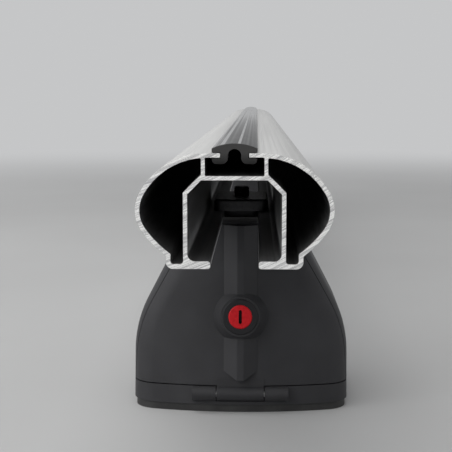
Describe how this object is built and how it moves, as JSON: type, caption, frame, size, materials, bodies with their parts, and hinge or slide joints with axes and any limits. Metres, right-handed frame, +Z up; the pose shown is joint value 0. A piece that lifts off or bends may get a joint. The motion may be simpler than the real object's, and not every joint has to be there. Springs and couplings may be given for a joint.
{
  "type": "roof rack crossbar",
  "caption": "Extruded aluminium roof rack crossbar with a rubber-filled top T-slot and an underside channel, carried on sliding clamp feet with hinged, lockable covers.",
  "frame": {"origin": "on the floor under the feet, at the middle of the bar's length and width", "axes": "+Z up, +Y along the bar, +X across it; the near foot's cover faces -Y"},
  "size_m": [0.111, 1.25, 0.1435],
  "materials": {
    "bar_aluminium": "satin",
    "strip_rubber": "matte",
    "foot_plastic": "textured",
    "pad_rubber": "matte",
    "steel": "zinc plated",
    "lock_black": "satin",
    "lock_red": "gloss"
  },
  "bodies": {
    "bar": {"crossbar": "bar_aluminium", "slot_strip": "strip_rubber"},
    "foot_near": {"foot_body_near": "foot_plastic", "saddle_pad_near": "pad_rubber", "base_pad_near": "pad_rubber", "hinge_pin_near": "steel", "clamp_washer_near": "steel"},
    "cover_near": {"front_cover_near": "foot_plastic", "lock_sleeve_near": "lock_black", "lock_nut_near": "steel"},
    "lock_near": {"lock_barrel_near": "lock_red", "lock_cam_near": "steel", "cam_screw_near": "steel"},
    "clamp_screw_near": {"clamp_screw_near": "steel"},
    "channel_plate_near": {"channel_plate_near": "steel"},
    "foot_far": {"foot_body_far": "foot_plastic", "saddle_pad_far": "pad_rubber", "base_pad_far": "pad_rubber", "hinge_pin_far": "steel", "clamp_washer_far": "steel"},
    "cover_far": {"front_cover_far": "foot_plastic", "lock_sleeve_far": "lock_black", "lock_nut_far": "steel"},
    "lock_far": {"lock_barrel_far": "lock_red", "lock_cam_far": "steel", "cam_screw_far": "steel"},
    "clamp_screw_far": {"clamp_screw_far": "steel"},
    "channel_plate_far": {"channel_plate_far": "steel"}
  },
  "joints": [
    {"name": "foot_slide_near", "type": "slide", "parent": "bar", "child": "foot_near", "axis": [0, 1, 0], "range_m": [-0.15, 0.3]},
    {"name": "cover_hinge_near", "type": "hinge", "parent": "foot_near", "child": "cover_near", "pos_m": [0, -0.47018, 0.0095], "axis": [1, 0, 0], "range_deg": [0, 80]},
    {"name": "lock_turn_near", "type": "hinge", "parent": "cover_near", "child": "lock_near", "pos_m": [0, -0.46435, 0.0485], "axis": [0, 0.989, -0.1478], "range_deg": [0, 90]},
    {"name": "clamp_screw_turn_near", "type": "hinge", "parent": "foot_near", "child": "clamp_screw_near", "pos_m": [0, -0.425, 0.09], "axis": [0, 0, -1], "range_deg": [0, 720]},
    {"name": "channel_plate_lift_near", "type": "slide", "parent": "foot_near", "child": "channel_plate_near", "axis": [0, 0, 1], "range_m": [0, 0.0025]},
    {"name": "foot_slide_far", "type": "slide", "parent": "bar", "child": "foot_far", "axis": [0, 1, 0], "range_m": [-0.3, 0.15]},
    {"name": "cover_hinge_far", "type": "hinge", "parent": "foot_far", "child": "cover_far", "pos_m": [0, 0.47018, 0.0095], "axis": [-1, 0, 0], "range_deg": [0, 80]},
    {"name": "lock_turn_far", "type": "hinge", "parent": "cover_far", "child": "lock_far", "pos_m": [0, 0.46435, 0.0485], "axis": [0, -0.989, -0.1478], "range_deg": [0, 90]},
    {"name": "clamp_screw_turn_far", "type": "hinge", "parent": "foot_far", "child": "clamp_screw_far", "pos_m": [0, 0.425, 0.09], "axis": [0, 0, -1], "range_deg": [0, 720]},
    {"name": "channel_plate_lift_far", "type": "slide", "parent": "foot_far", "child": "channel_plate_far", "axis": [0, 0, 1], "range_m": [0, 0.0025]}
  ],
  "couplings": [
    {"joint": "clamp_screw_turn_near", "follows": "channel_plate_lift_near", "rad_per_m": 5026.5},
    {"joint": "clamp_screw_turn_far", "follows": "channel_plate_lift_far", "rad_per_m": 5026.5}
  ]
}
